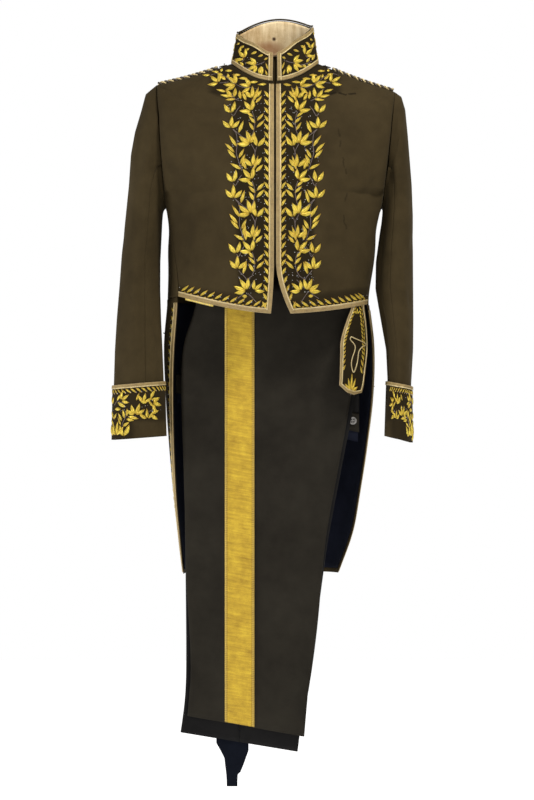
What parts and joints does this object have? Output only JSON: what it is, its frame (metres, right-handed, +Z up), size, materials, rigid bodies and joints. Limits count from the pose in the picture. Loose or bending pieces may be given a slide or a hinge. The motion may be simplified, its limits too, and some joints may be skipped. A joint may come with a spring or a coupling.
{
  "type": "dress uniform of a tailcoat and folded trousers",
  "caption": "Hollow dress tailcoat with stand collar, leafy gold braid panels and deep cuffs, with its striped trousers folded and hung behind the hem.",
  "frame": {"origin": "middle of the shoulder line at the neck, where the wearer's shoulders carry the coat", "axes": "+Z up, -Y towards the front of the garment, +X towards the wearer's left"},
  "size_m": [0.5603, 0.2375, 1.4327],
  "materials": {
    "broadcloth": "wool broadcloth",
    "trouser_cloth": "wool twill",
    "navy_lining": "silk lining",
    "cream_lining": "worn cotton lining",
    "edge_braid": "silk tape and gold cord",
    "gold_lace": "woven gilt lace",
    "gilt_button": "gilt",
    "plain_button": "grey",
    "strap": "webbing"
  },
  "bodies": {
    "root": {"front_right": "broadcloth", "front_left": "broadcloth", "back_right": "broadcloth", "back_left": "broadcloth", "side_body_right": "broadcloth", "side_body_left": "broadcloth", "front_braid_right": "edge_braid", "front_braid_left": "edge_braid", "tail_right": "broadcloth", "tail_left": "broadcloth", "tail_lining_right": "navy_lining", "tail_lining_left": "navy_lining", "tail_braid_right": "edge_braid", "tail_braid_left": "edge_braid", "hip_button_right_1": "gilt_button", "hip_button_right_2": "gilt_button", "hip_button_left_1": "gilt_button", "hip_button_left_2": "gilt_button", "collar": "broadcloth", "collar_lining": "cream_lining", "collar_braid": "edge_braid", "collar_base_braid": "edge_braid", "shoulder_cord_right": "edge_braid", "shoulder_cord_left": "edge_braid", "shoulder_button_right": "gilt_button", "shoulder_button_left": "gilt_button", "sleeve_top_right": "broadcloth", "sleeve_top_left": "broadcloth", "sleeve_under_right": "broadcloth", "sleeve_under_left": "broadcloth", "cuff_right": "broadcloth", "cuff_left": "broadcloth", "cuff_braid_right": "edge_braid", "cuff_braid_left": "edge_braid", "sword_frog": "broadcloth", "frog_braid": "edge_braid", "frog_slot_cord": "edge_braid", "hem_cord_right": "gold_lace", "leg_front_right": "trouser_cloth", "leg_front_left": "trouser_cloth", "leg_back_right": "trouser_cloth", "leg_back_left": "trouser_cloth", "waistband_right": "trouser_cloth", "waistband_left": "trouser_cloth", "waistband_lining": "navy_lining", "stripe_right": "gold_lace", "stripe_left": "gold_lace", "brace_button": "plain_button", "foot_strap": "strap"}
  },
  "joints": []
}
